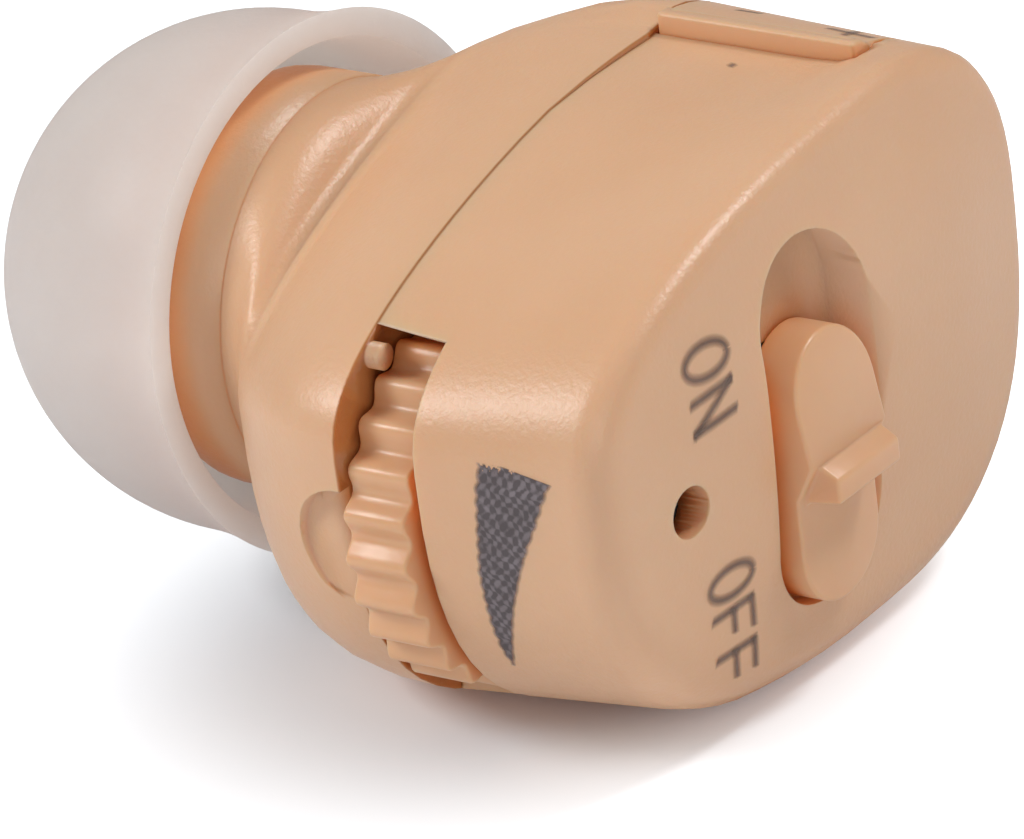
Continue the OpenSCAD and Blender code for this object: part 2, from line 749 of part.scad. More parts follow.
module volume_control_body() {
    color(black) difference() {
        union() {
            rod(pot_r, board_back, pot_rear, wheel_at);
            for (side = [-1, 0, 1]) translate([wheel_x + side * pot_r / 2, 0, wheel_z]) block(
                [-driver_slot, board_back, -pot_r - driver_slot], [driver_slot, board_back + driver_slot, 0]);
        }
        rod(journal_r + running_gap, pot_rear - journal_l - fit_gap, pot_rear + overrun, wheel_at, small_fn);
    }
}

module volume_control_rotor() {
    drive_end = wheel_rear - screw_head_h;
    color(steel) difference() {
        union() {
            rod(journal_r, pot_rear - journal_l, wheel_front, wheel_at, small_fn);
            rod(drive_r, wheel_front - pot_gap / 2, drive_end, wheel_at, small_fn);
        }
        rod(screw_r, drive_end - screw_l - fit_gap, drive_end + overrun, wheel_at, small_fn);
    }
}

// Plate across the switch, whose side view is drawn in Y and Z
module switch_plate(w, points) {
    translate([switch_x - w / 2, 0, 0]) rotate([90, 0, 90]) linear_extrude(w) polygon(points);
}

// Slider with its stem: flat below, with a ramp that climbs from its upper end to the finger ridge
module power_slider() {
    base_y = recess_y - contact_gap;
    top_y = recess_y - slider_h;
    ramp_y = top_y - ramp_rise;
    low = slider_z - slider_l / 2;
    high = slider_z + slider_l / 2;
    ridge_low = slider_z - ridge_drop - ridge_crest / 2;
    ridge_high = ridge_low + ridge_crest;
    foot = ridge_high + ridge_slope;
    color(beige) difference() {
        union() {
            intersection() {
                slab(crest_y, base_y) stadium(slider_w, slider_l, [switch_x, slider_z]);
                switch_plate(slider_w, [[base_y, low], [top_y, low], [top_y, ridge_low], [ramp_y, foot],
                    [top_y, high], [base_y, high]]);
            }
            switch_plate(ridge_w, [[base_y, ridge_low - ridge_side], [top_y, ridge_low - ridge_side],
                [crest_y, ridge_low], [crest_y, ridge_high], [ramp_y, foot], [base_y, foot]]);
            block([switch_x - stem_w / 2, top_y, slider_z - stem_l / 2],
                [switch_x + stem_w / 2, floor_back, slider_z + stem_l / 2]);
        }
        block([switch_x - lever_w / 2 - fit_gap, recess_y, slider_z - lever_l / 2 - fit_gap],
            [switch_x + lever_w / 2 + fit_gap, floor_back + overrun, slider_z + lever_l / 2 + fit_gap]);
    }
}

module switch_body() {
    color(grey) difference() {
        block([switch_x - switch_w / 2, switch_front, switch_z - switch_l / 2],
            [switch_x + switch_w / 2, switch_back, switch_z + switch_l / 2]);
        block([switch_x - lever_w / 2 - fit_gap, switch_front - overrun,
                slider_z - lever_l / 2 - slider_gap],
            [switch_x + lever_w / 2 + fit_gap, switch_front + lever_in + running_gap,
                slider_z + lever_l / 2 + travel + slider_gap]);
    }
}

module switch_lever() {
    color(black) block([switch_x - lever_w / 2, recess_y + fit_gap, slider_z - lever_l / 2],
        [switch_x + lever_w / 2, switch_front + lever_in, slider_z + lever_l / 2]);
}

// Door with its wall from the shell's own surface, the grip edge, the hinge barrel and the cell's ring
module battery_door() {
    color(beige) difference() {
        union() {
            intersection() {
                front_outside(0);
                union() {
                    difference() {
                        slab(door_front + door_gap, -door_gap) door_plan(door_gap, door_free_angle + door_relief);
                        front_inside();
                        rod(barrel_r + door_gap, -lug_w - door_gap, 0, hinge_at);
                    }
                    rod(barrel_r, barrel_front, barrel_rear, hinge_at);
                    translate([hinge_x, 0, hinge_z]) rotate([0, -web_turn, 0])
                        block([0, barrel_front, -web_h / 2], [web_l, barrel_rear, web_h / 2]);
                    rod(cradle_r, cell_front + cradle_inset, cell_rear - cradle_inset, cell_at);
                }
            }
            grip_edge();
        }
        rod(cradle_bore, cell_front - overrun, 0, cell_at);
        rod(pin_r + running_gap, door_front - overrun, overrun, hinge_at, small_fn);
    }
}

// Rounded bar along the door's free edge, level with the shell's outline at each end
module grip_edge() {
    r = lip_w / 2;
    low = -door_gap - r;
    high = door_front + door_gap + r;
    lip_x = edge_x + door_gap + r;
    hull() for (y = [low, high]) translate([lip_x, y, grip_z(lip_x, y) - r + lip_rise]) sphere(r, $fn = small_fn);
    hull() for (y = [low, high]) translate([lip_x, y, grip_z(lip_x, y) - wall])
        cylinder(r = r, h = wall - r + lip_rise, $fn = small_fn);
}

// Height of the outline over a point of the door, found from the outline's own formula
function grip_z(x, y) =
    let (s = mix(seam_shape, face_shape, -y / face_depth))
    outline_point(acos(pow((x - outline_x) / s[1], outline_power / 2)), s, 0)[1];

module door_hinge_pin() {
    color(steel) rod(pin_r, pin_front, -door_gap, hinge_at, small_fn);
}

module cell_can() {
    color(steel) difference() {
        rod(cell_r, cell_front, cell_rear - cap_rise, cell_at);
        rod(cell_r - can_t, cell_front + can_t, cell_rear + overrun, cell_at);
        for (turn = [0:90:270]) rod(air_hole_r, cell_front - overrun, cell_front + overrun,
            cell_at + air_hole_at * [cos(turn), sin(turn)], tiny_fn);
    }
}

module cell_gasket() {
    color(black) difference() {
        rod(cell_r - can_t, cell_front + can_t, cell_rear - cap_rise, cell_at);
        rod(cell_r - can_t - gasket_t, cell_front + can_t + gasket_t, cell_rear + overrun, cell_at);
        rod(air_hole_at + 2 * air_hole_r, cell_front - overrun, cell_front + overrun, cell_at);
    }
}

module cell_cap() {
    color(steel) rod(cell_r - can_t - gasket_t, cell_front + can_t + gasket_t, cell_rear, cell_at);
}

// Leaf spring along Y and X: a foot on the board, a leg past its edge and an arm over the cell
module leaf(foot_y, arm_y, side, arm) {
    leg_x = board_right + contact_gap;
    translate([0, 0, leaf_z - leaf_w / 2]) linear_extrude(leaf_w) {
        translate([leg_x + leaf_t - foot_l, foot_y - (side > 0 ? 0 : leaf_t)]) square([foot_l, leaf_t]);
        translate([leg_x, min(foot_y, arm_y)]) square([leaf_t, abs(arm_y - foot_y)]);
        translate([leg_x, arm_y - (side > 0 ? leaf_t : 0)]) square([arm, leaf_t]);
    }
}

module contact_positive() {
    color(gold) leaf(board_front, cell_front - contact_gap - leaf_t, -1, arm_positive);
}

module contact_negative() {
    color(gold) leaf(board_back, cell_rear + contact_gap + leaf_t, 1, arm_negative);
}

module circuit_board() {
    color(board_green) intersection() {
        slab(board_front, board_back) polygon(front_plan(board_back, wall + loose_gap, inner_count));
        block([outline_x - seam_left, board_front, outline_z - seam_left],
            [board_right, board_back, outline_z + seam_left]);
    }
}

module amplifier_chip() {
    color(black) block([chip_at[0] - chip_w / 2, board_back, chip_at[1] - chip_w / 2],
        [chip_at[0] + chip_w / 2, board_back + chip_h, chip_at[1] + chip_w / 2]);
}

module capacitors() {
    color(tan) for (i = [0:row_count - 1]) translate([capacitor_x, board_back,
        wheel_z + (i - 1) * row_step - capacitor_l / 2]) cube([capacitor_w, capacitor_w, capacitor_l]);
}

module resistors() {
    color(black) for (i = [0:row_count - 1]) translate([resistor_x, board_back,
        wheel_z + (i - 1) * row_step - resistor_l / 2]) cube([resistor_w, resistor_w, resistor_l]);
}

module microphone() {
    color(gold) {
        rod(mic_r, mic_front, mic_rear, mic_at);
        for (side = [-1, 1]) rod(pin_lead_r, mic_rear, board_front, mic_at + [side * mic_r / 2, 0], tiny_fn);
    }
}

module microphone_boot() {
    color(black) difference() {
        rod(boot_r, boot_front, mic_rear, mic_at);
        rod(mic_r, mic_front, mic_rear + overrun, mic_at);
        rod(mic_hole_r, boot_front - overrun, mic_front + overrun, mic_at, small_fn);
    }
}

module dust_screen() {
    color(grey) rod(screen_r, seat_y - screen_t, seat_y, mic_at, small_fn);
}

module receiver() {
    color(steel) {
        block([-receiver_w / 2, receiver_from, -receiver_h / 2], [receiver_w / 2, receiver_end, receiver_h / 2]);
        rod(spout_r, receiver_end, receiver_end + spout_l, fn = small_fn);
        for (side = [-1, 1]) translate([side * lead_gap / 2, receiver_from, 0])
            block([-terminal_w / 2, -terminal_l, -terminal_h / 2], [terminal_w / 2, 0, terminal_h / 2]);
    }
}

module receiver_sleeve() {
    out_w = receiver_w / 2 + sleeve_wall;
    out_h = receiver_h / 2 + sleeve_wall;
    color(black) difference() {
        block([-out_w, sleeve_from, -out_h], [out_w, sleeve_end, out_h]);
        block([-receiver_w / 2, receiver_from - overrun, -receiver_h / 2],
            [receiver_w / 2, receiver_end, receiver_h / 2]);
        rod(tube_r + fit_gap, receiver_end - overrun, sleeve_end + overrun, fn = small_fn);
    }
}

module sound_tube() {
    color(milk) difference() {
        rod(tube_r, receiver_end, filter_from, fn = small_fn);
        rod(tube_bore, receiver_end - overrun, filter_from + overrun, fn = small_fn);
    }
}

module wax_filter() {
    color("white") difference() {
        rod(filter_r, filter_from, spigot_end, fn = small_fn);
        rod(filter_r - filter_wall, filter_from + filter_face, spigot_end + overrun, fn = small_fn);
        for (turn = [0:60:300]) rod(filter_wall / 2, filter_from - overrun, spigot_end,
            filter_share * tube_bore * [cos(turn), sin(turn)], tiny_fn);
    }
}

function lead_route(side) = let (shift = side * lead_gap / 2, end = receiver_from - terminal_l)
    [[lead_x + shift, board_back, lead_z], [lead_x + shift, board_back + lead_rise, lead_z],
    [lead_x + shift, wheel_rear, lead_z],
    for (s = lead_shares) [mix(lead_x, 0, s[0]) + shift, mix(wheel_rear, end, s[1]), lead_z * (1 - s[2])],
    [shift, end, 0]];

// Thin wire along a route, with a ring square to the route at each of its points
module wire(route) {
    last = len(route) - 1;
    rings = [for (i = [0:last])
        let (way = route[min(i + 1, last)] - route[max(i - 1, 0)])
        let (side = cross(way, [0, 0, 1]) / norm(cross(way, [0, 0, 1])), up = cross(side, way) / norm(way))
        [for (j = [0:lead_sides - 1]) let (a = 360 * j / lead_sides)
            route[i] + lead_r * (cos(a) * side + sin(a) * up)]];
    loft(rings, route[last]);
}

module receiver_leads() {
    color("firebrick") for (side = [-1, 1]) wire(lead_route(side));
}

set_down() front_shell();
set_down() rear_shell();
set_down() ear_tip();
set_down() volume_wheel();
set_down() wheel_screw();
set_down() volume_control_body();
set_down() volume_control_rotor();
set_down() power_slider();
set_down() switch_body();
set_down() switch_lever();
set_down() battery_door();
set_down() door_hinge_pin();
set_down() cell_can();
set_down() cell_gasket();
set_down() cell_cap();
set_down() contact_positive();
set_down() contact_negative();
set_down() circuit_board();
set_down() amplifier_chip();
set_down() capacitors();
set_down() resistors();
set_down() microphone();
set_down() microphone_boot();
set_down() dust_screen();
set_down() receiver();
set_down() receiver_sleeve();
set_down() sound_tube();
set_down() wax_filter();
set_down() receiver_leads();
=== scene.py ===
# In-ear hearing amplifier: skins, prints, finishes, lights and camera on top of the CAD parts
import math

import bmesh
import bpy
from mathutils import Matrix, Vector
from mathutils.bvhtree import BVHTree
from mathutils.interpolate import poly_3d_calc


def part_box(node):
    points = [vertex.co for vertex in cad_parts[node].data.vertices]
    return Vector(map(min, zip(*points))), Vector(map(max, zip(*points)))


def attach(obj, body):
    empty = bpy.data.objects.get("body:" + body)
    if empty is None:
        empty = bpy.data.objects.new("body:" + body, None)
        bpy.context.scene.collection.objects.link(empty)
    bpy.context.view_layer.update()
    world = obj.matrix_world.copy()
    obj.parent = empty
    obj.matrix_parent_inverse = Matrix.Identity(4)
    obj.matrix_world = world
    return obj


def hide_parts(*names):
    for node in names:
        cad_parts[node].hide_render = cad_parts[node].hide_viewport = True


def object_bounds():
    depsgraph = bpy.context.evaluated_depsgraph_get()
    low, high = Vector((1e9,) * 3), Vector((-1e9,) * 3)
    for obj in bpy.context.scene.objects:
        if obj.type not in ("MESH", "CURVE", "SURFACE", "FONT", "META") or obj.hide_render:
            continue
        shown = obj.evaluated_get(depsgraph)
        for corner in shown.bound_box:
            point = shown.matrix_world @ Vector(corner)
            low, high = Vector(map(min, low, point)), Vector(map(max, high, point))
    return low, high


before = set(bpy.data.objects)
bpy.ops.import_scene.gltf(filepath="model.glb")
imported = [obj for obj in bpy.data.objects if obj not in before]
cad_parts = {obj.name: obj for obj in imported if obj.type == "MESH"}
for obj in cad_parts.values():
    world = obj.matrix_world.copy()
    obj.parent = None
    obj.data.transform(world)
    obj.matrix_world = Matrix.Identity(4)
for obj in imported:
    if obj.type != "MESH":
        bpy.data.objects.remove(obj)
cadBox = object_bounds()
mm = 0.001
weldGap = 1e-4 * mm

# Everything is placed from the sound bore's axis and from the seam between the two shells, in millimetres
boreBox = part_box("sound_tube")
boreX = (boreBox[0][0] + boreBox[1][0]) / 2
boreZ = (boreBox[0][2] + boreBox[1][2]) / 2
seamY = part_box("front_shell")[1][1]


def at(x, y, z):
    return Vector((boreX + x * mm, seamY + y * mm, boreZ + z * mm))


def pick(obj):
    if bpy.context.object and bpy.context.object.mode != "OBJECT":
        bpy.ops.object.mode_set(mode="OBJECT")
    bpy.ops.object.select_all(action="DESELECT")
    obj.select_set(True)
    bpy.context.view_layer.objects.active = obj


def settle(obj):
    pick(obj)
    bpy.ops.object.transform_apply(location=True, rotation=True, scale=True)


def applyAll(obj):
    pick(obj)
    for mod in list(obj.modifiers):
        bpy.ops.object.modifier_apply(modifier=mod.name)


def cut(obj, tool, how="DIFFERENCE"):
    mod = obj.modifiers.new(how.lower(), "BOOLEAN")
    mod.operation = how
    mod.object = tool
    mod.solver = "EXACT"
    applyAll(obj)
    bpy.data.objects.remove(tool, do_unlink=True)


def outwards(obj):
    pick(obj)
    bpy.ops.object.mode_set(mode="EDIT")
    bpy.ops.mesh.select_all(action="SELECT")
    bpy.ops.mesh.remove_doubles(threshold=weldGap)
    bpy.ops.mesh.normals_make_consistent(inside=False)
    bpy.ops.object.mode_set(mode="OBJECT")


def soften(obj, angle):
    pick(obj)
    bpy.ops.object.shade_smooth_by_angle(angle=math.radians(angle))


# Rounds the edges that are sharper than an angle
def roundEdges(obj, width, segments, angle):
    mod = obj.modifiers.new("bevel", "BEVEL")
    mod.width = width * mm
    mod.segments = segments
    mod.limit_method = "ANGLE"
    mod.angle_limit = math.radians(angle)
    applyAll(obj)


# A merged copy of a CAD node, so that its edges can be rounded and its curves shaded smooth
def skinOf(node, name, body, finish, angle=35, bevel=0.0, flatAngle=0.0):
    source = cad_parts[node]
    obj = source.copy()
    obj.data = source.data.copy()
    obj.parent = None
    obj.matrix_world = Matrix.Identity(4)
    obj.name = name
    obj.data.name = name
    bpy.context.scene.collection.objects.link(obj)
    pick(obj)
    bpy.ops.object.mode_set(mode="EDIT")
    bpy.ops.mesh.select_all(action="SELECT")
    bpy.ops.mesh.remove_doubles(threshold=weldGap)
    if flatAngle:
        bpy.ops.mesh.dissolve_limited(angle_limit=math.radians(flatAngle))
    bpy.ops.object.mode_set(mode="OBJECT")
    if bevel:
        roundEdges(obj, bevel, segments=3, angle=40)
    soften(obj, angle)
    obj.data.materials.clear()
    obj.data.materials.append(finish)
    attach(obj, body)
    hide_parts(node)
    return obj


# Linear colour of an sRGB code
def hexColor(code):
    parts = [int(code[i:i + 2], 16) / 255 for i in (1, 3, 5)]
    return tuple(c / 12.92 if c <= 0.04045 else ((c + 0.055) / 1.055) ** 2.4 for c in parts) + (1.0,)


# Adds one node: settings are its properties or its input values, links are (input, other node, output)
def addNode(tree, kind, settings=None, links=()):
    node = tree.nodes.new(kind)
    for key, value in (settings or {}).items():
        if isinstance(key, int) or key in node.inputs:
            node.inputs[key].default_value = value
        else:
            setattr(node, key, value)
    for target, other, output in links:
        tree.links.new(other.outputs[output], node.inputs[target])
    return node


def newMaterial(name, color, rough, metal=0.0, extra=None):
    mat = bpy.data.materials.new(name)
    mat.use_nodes = True
    tree = mat.node_tree
    shader = tree.nodes["Principled BSDF"]
    shader.inputs["Base Color"].default_value = hexColor(color)
    shader.inputs["Roughness"].default_value = rough
    shader.inputs["Metallic"].default_value = metal
    for key, value in (extra or {}).items():
        shader.inputs[key].default_value = value
    return mat, tree, shader


# Blotchy colour and a fine bump, both on object coordinates; sizes are in millimetres
def grain(tree, shader, tones, patch, grit, depth, roughs=None, edge=0.0):
    coord = addNode(tree, "ShaderNodeTexCoord")
    blotch = addNode(tree, "ShaderNodeTexNoise", {"Scale": 1 / (patch * mm), "Detail": 3.0},
                     [("Vector", coord, "Object")])
    ramp = addNode(tree, "ShaderNodeValToRGB", None, [("Fac", blotch, "Fac")])
    for stop, place, tone in zip(ramp.color_ramp.elements, (0.3, 0.7), tones):
        stop.position = place
        stop.color = hexColor(tone)
    tree.links.new(ramp.outputs["Color"], shader.inputs["Base Color"])
    pits = addNode(tree, "ShaderNodeTexNoise", {"Scale": 1 / (grit * mm), "Detail": 2.0, "Roughness": 0.6},
                   [("Vector", coord, "Object")])
    bump = addNode(tree, "ShaderNodeBump", {"Strength": 1.0, "Distance": depth * mm}, [("Height", pits, "Fac")])
    if edge:
        rounded = addNode(tree, "ShaderNodeBevel", {"Radius": edge * mm, "samples": 6})
        tree.links.new(rounded.outputs["Normal"], bump.inputs["Normal"])
    tree.links.new(bump.outputs["Normal"], shader.inputs["Normal"])
    if roughs:
        span = addNode(tree, "ShaderNodeMapRange", {"To Min": roughs[0], "To Max": roughs[1]},
                       [("Value", pits, "Fac")])
        tree.links.new(span.outputs["Result"], shader.inputs["Roughness"])
    return coord


# Mixes a tone into the base colour: all of it where the level is 0, none where it is 1
def tint(tree, shader, tone, level):
    old = shader.inputs["Base Color"].links[0].from_socket
    blend = addNode(tree, "ShaderNodeMix", {"data_type": "RGBA", 6: hexColor(tone)}, [(0, level, "Result")])
    tree.links.new(old, blend.inputs[7])
    tree.links.new(blend.outputs[2], shader.inputs["Base Color"])


# Painted shade: mixes a warmer, darker tone into the base colour in recesses by ambient occlusion, standing in for
# the shade and warm bounced light there; the reach is in millimetres, and the span is the share of open sky from full
# tone to none
def paintRecessShade(tree, shader, tone, reach, span):
    shade = addNode(tree, "ShaderNodeAmbientOcclusion", {"Distance": reach * mm, "samples": 8})
    level = addNode(tree, "ShaderNodeMapRange", {"From Min": span[0], "From Max": span[1]}, [("Value", shade, "AO")])
    tint(tree, shader, tone, level)


# Painted shade along the seam: a fine darker line between the two shells, standing in for the shade in the gap where
# they meet; the widths, full tone to none, are in millimetres
def paintSeamShade(tree, shader, coord, tone, widths):
    parts = addNode(tree, "ShaderNodeSeparateXYZ", None, [(0, coord, "Object")])
    away = addNode(tree, "ShaderNodeMath", {"operation": "SUBTRACT", 1: seamY}, [(0, parts, "Y")])
    size = addNode(tree, "ShaderNodeMath", {"operation": "ABSOLUTE"}, [(0, away, 0)])
    level = addNode(tree, "ShaderNodeMapRange", {"From Min": widths[0] * mm, "From Max": widths[1] * mm},
                    [("Value", size, 0)])
    tint(tree, shader, tone, level)


# ABS moulded in a spark-eroded tool: a dry satin skin, whose fine pits break up the highlight; painted shade makes it
# warmer and darker in its recesses, and a painted shade line marks the seam
shellAbs, tree, shader = newMaterial("mouldedAbsSatin", "#DDB08A", rough=0.42, extra={
    "IOR": 1.5, "Subsurface Weight": 0.35, "Subsurface Scale": 0.9 * mm, "Subsurface Radius": (1.0, 0.42, 0.2)})
coord = grain(tree, shader, ("#DBAB84", "#E0B38E"), patch=6.0, grit=0.13, depth=0.012, roughs=(0.29, 0.43), edge=0.06)
paintRecessShade(tree, shader, "#EE9448", reach=1.0, span=(0.05, 0.7))
paintSeamShade(tree, shader, coord, "#B4703C", widths=(0.015, 0.065))

# ABS moulded in a polished tool: the small controls are smoother and catch sharper highlights; painted shade makes
# them warmer and darker in their recesses
trimAbs, tree, shader = newMaterial("mouldedAbsPolished", "#DFAE84", rough=0.3, extra={
    "IOR": 1.5, "Subsurface Weight": 0.4, "Subsurface Scale": 0.8 * mm, "Subsurface Radius": (1.0, 0.42, 0.2)})
grain(tree, shader, ("#DDA97E", "#E2B28A"), patch=3.0, grit=0.3, depth=0.006, roughs=(0.26, 0.36))
paintRecessShade(tree, shader, "#EE9044", reach=0.9, span=(0.05, 0.75))

# Silicone rubber from a blasted mould: milky, lets light through and scatters it, with a frosted skin
silicone, tree, shader = newMaterial("siliconeFrosted", "#E2DDD8", rough=0.42, extra={
    "IOR": 1.41, "Subsurface Weight": 0.8, "Subsurface Scale": 1.6 * mm, "Subsurface Radius": (1.0, 0.88, 0.8),
    "Transmission Weight": 0.12})
grain(tree, shader, ("#F0E7E3", "#F7F1ED"), patch=2.2, grit=0.2, depth=0.012, roughs=(0.36, 0.5))
through = addNode(tree, "ShaderNodeBsdfTranslucent", {"Color": hexColor("#FDF9F5")})
blend = addNode(tree, "ShaderNodeMixShader", {"Fac": 0.5}, [(1, shader, "BSDF"), (2, through, "BSDF")])
tree.links.new(blend.outputs[0], tree.nodes["Material Output"].inputs["Surface"])

# Pad-printed ink of the words: thin, brownish on the warm plastic, and starved at its edges
ink, tree, shader = newMaterial("padPrintInk", "#6B5A55", rough=0.5)
grain(tree, shader, ("#57463F", "#6D5B53"), patch=0.4, grit=0.1, depth=0.002)
cover = addNode(tree, "ShaderNodeAttribute", {"attribute_name": "cover"})
fade = addNode(tree, "ShaderNodeMapRange", {"To Max": 0.82}, [("Value", cover, "Fac")])
tree.links.new(fade.outputs["Result"], shader.inputs["Alpha"])

# The wedge's screen: sizes of the drift and grit in millimetres, the bend of the dark lines in radians and their
# closeness in radians per millimetre, their contrast, and the levels between which the print starts
screenSet = {
    "drift": 0.3, "twist": 7.0, "across": 24.0, "along": 20.0, "contrast": (-0.3, 0.6), "least": 0.2,
    "dark": "#3C3538", "grit": 0.09, "start": (0.75, 0.35), "fill": 0.6, "ragged": (0.48, 0.6), "most": 0.95,
}


# Dark lines that cross, bent by a noise
def weave(tree, shader, coord, across, along, s):
    drift = addNode(tree, "ShaderNodeTexNoise", {"Scale": 1 / (s["drift"] * mm), "Detail": 3.0},
                    [("Vector", coord, "Object")])
    twist = addNode(tree, "ShaderNodeMath", {"operation": "MULTIPLY", 1: s["twist"]}, [(0, drift, "Fac")])
    waves = []
    for way, closeness in ((across, s["across"]), (along, s["along"])):
        lines = addNode(tree, "ShaderNodeMath", {"operation": "MULTIPLY_ADD", 1: closeness},
                        [(0, way, "Fac"), (2, twist, 0)])
        waves.append(addNode(tree, "ShaderNodeMath", {"operation": "SINE"}, [(0, lines, 0)]))
    both = addNode(tree, "ShaderNodeMath", {"operation": "MULTIPLY"}, [(0, waves[0], 0), (1, waves[1], 0)])
    level = addNode(tree, "ShaderNodeMapRange", {
        "From Min": s["contrast"][0], "From Max": s["contrast"][1], "To Min": s["least"]}, [("Value", both, 0)])
    tint(tree, shader, s["dark"], level)


# Holes in the print where it starts, and its thinned edges
def starve(tree, shader, coord, cover, along, s):
    start = addNode(tree, "ShaderNodeMapRange", {
        "From Min": s["start"][0], "From Max": s["start"][1], "To Max": s["fill"]}, [("Value", along, "Fac")])
    grit = addNode(tree, "ShaderNodeTexNoise", {"Scale": 1 / (s["grit"] * mm), "Detail": 1.0},
                   [("Vector", coord, "Object")])
    holes = addNode(tree, "ShaderNodeMath", {"operation": "ADD"}, [(0, grit, "Fac"), (1, start, "Result")])
    ragged = addNode(tree, "ShaderNodeMapRange", {"From Min": s["ragged"][0], "From Max": s["ragged"][1]},
                     [("Value", holes, 0)])
    full = addNode(tree, "ShaderNodeMath", {"operation": "MULTIPLY"}, [(0, cover, "Fac"), (1, ragged, "Result")])
    thin = addNode(tree, "ShaderNodeMath", {"operation": "MULTIPLY", 1: s["most"]}, [(0, full, 0)])
    tree.links.new(thin.outputs[0], shader.inputs["Alpha"])


# Ink of the volume wedge, printed through a coarse screen: grey with dark crossing lines, ragged where it begins
screenInk, tree, shader = newMaterial("screenPrintInk", "#5E5A5C", rough=0.5)
coord = grain(tree, shader, ("#6B6265", "#7D7478"), patch=0.5, grit=0.09, depth=0.003)
across, along, cover = [addNode(tree, "ShaderNodeAttribute", {"attribute_name": name})
                        for name in ("across", "along", "cover")]
weave(tree, shader, coord, across, along, screenSet)
starve(tree, shader, coord, cover, along, screenSet)

# Cold-rolled steel, with faint rolling marks
steel, tree, shader = newMaterial("steelDrawn", "#B9BABC", rough=0.28, metal=1.0)
grain(tree, shader, ("#B2B3B5", "#C2C3C5"), patch=1.5, grit=0.12, depth=0.003, roughs=(0.22, 0.36))

# Nickel plating on the cell's can, brighter than bare steel
nickel, tree, shader = newMaterial("nickelPlate", "#C9C7C2", rough=0.22, metal=1.0)
grain(tree, shader, ("#C2C0BB", "#D0CEC9"), patch=2.0, grit=0.2, depth=0.002, roughs=(0.18, 0.28))

# Gold flash over phosphor bronze strip
gold, tree, shader = newMaterial("goldFlash", "#E0B868", rough=0.25, metal=1.0)
grain(tree, shader, ("#D8AE5C", "#E6C278"), patch=1.0, grit=0.15, depth=0.002, roughs=(0.2, 0.3))

# Glass-fibre board under green solder resist: glossy, with the weave showing as a faint mottle
board, tree, shader = newMaterial("solderResist", "#1F5B38", rough=0.3, extra={"Coat Weight": 0.4})
grain(tree, shader, ("#1A5030", "#286842"), patch=0.5, grit=0.3, depth=0.004, roughs=(0.25, 0.35))

# Glass-filled nylon of the switch, control and chip: black and dry
blackNylon, tree, shader = newMaterial("nylonBlack", "#232325", rough=0.5)
grain(tree, shader, ("#1F1F21", "#2A2A2C"), patch=1.0, grit=0.15, depth=0.006, roughs=(0.42, 0.58))

# Moulded rubber of boot, sleeve and gasket: black, soft and dull
rubber, tree, shader = newMaterial("rubberMoulded", "#1E1E1F", rough=0.75)
grain(tree, shader, ("#1A1A1B", "#252526"), patch=1.0, grit=0.2, depth=0.008, roughs=(0.68, 0.82))

# Fired ceramic bodies of the capacitors
ceramic, tree, shader = newMaterial("ceramicFired", "#A9825A", rough=0.45)
grain(tree, shader, ("#A07850", "#B48C64"), patch=0.4, grit=0.1, depth=0.004)

# Woven polyester screen behind the microphone hole
cloth, tree, shader = newMaterial("polyesterScreen", "#3A3836", rough=0.8)
grain(tree, shader, ("#2E2C2A", "#4A4744"), patch=0.1, grit=0.06, depth=0.01)

# Acetal of the wax filter: white and waxy
acetal, tree, shader = newMaterial("acetalWhite", "#E9E8E3", rough=0.35, extra={
    "Subsurface Weight": 0.3, "Subsurface Scale": 0.4 * mm})
grain(tree, shader, ("#E4E3DE", "#EEEDE8"), patch=1.0, grit=0.2, depth=0.003)

# Enamel on fine copper wire
enamel, tree, shader = newMaterial("wireEnamel", "#A8322A", rough=0.25)
grain(tree, shader, ("#9C2B24", "#B43A31"), patch=0.5, grit=0.1, depth=0.002)
print("stage: materials made")

# Pieces inside the shells keep the CAD meshes
finishes = {
    "wheel_screw": steel, "volume_control_body": blackNylon, "volume_control_rotor": steel, "switch_body": steel,
    "switch_lever": blackNylon, "door_hinge_pin": steel, "cell_can": nickel, "cell_gasket": rubber,
    "cell_cap": nickel, "contact_positive": gold, "contact_negative": gold, "circuit_board": board,
    "amplifier_chip": blackNylon, "capacitors": ceramic, "resistors": blackNylon, "microphone": gold,
    "microphone_boot": rubber, "dust_screen": cloth, "receiver": steel, "receiver_sleeve": rubber,
    "sound_tube": silicone, "wax_filter": acetal, "receiver_leads": enamel,
}
for nodeName, finish in finishes.items():
    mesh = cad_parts[nodeName].data
    mesh.materials.clear()
    mesh.materials.append(finish)
print("stage: inner pieces finished")

# The shells' moulded form, from the construction: reach left, right, up and down, the two slopes, the middle and
# the squareness of each outline, then the depths, roundings and the hollow beside the door
formSet = {
    "face": (9.7, 6.1, 4.7, 7.0, 0.08, 0.03, 2.2, 0.2, 2.56),
    "seam": (9.9, 6.4, 4.5, 6.7, 0.17, 0.17, 2.2, 0.2, 2.56),
    "shoulder": (7.1, 4.6, 4.0, 5.6, 0.27, 0.27, 1.4, -0.1, 2.56),
    "crease": (4.39, 4.39, 4.39, 4.39, 0, 0, 0, 0, 2),
    "faceY": 6.4, "dome": 0.65, "crisp": 0.5, "soft": 1.4, "crispTurn": 20, "shoulderY": 3.9, "creaseY": 5.4,
    "bowlPower": 2.2, "edgeX": 4.65, "doorL": 5.0, "hollow": (0.4, 0.3), "spread": 4.45, "end": 1.0, "fade": 0.7,
}


def mix(a, b, t):
    return tuple(x * (1 - t) + y * t for x, y in zip(a, b))


def ease(t):
    k = min(max(t, 0), 1)
    return k * k * (3 - 2 * k)


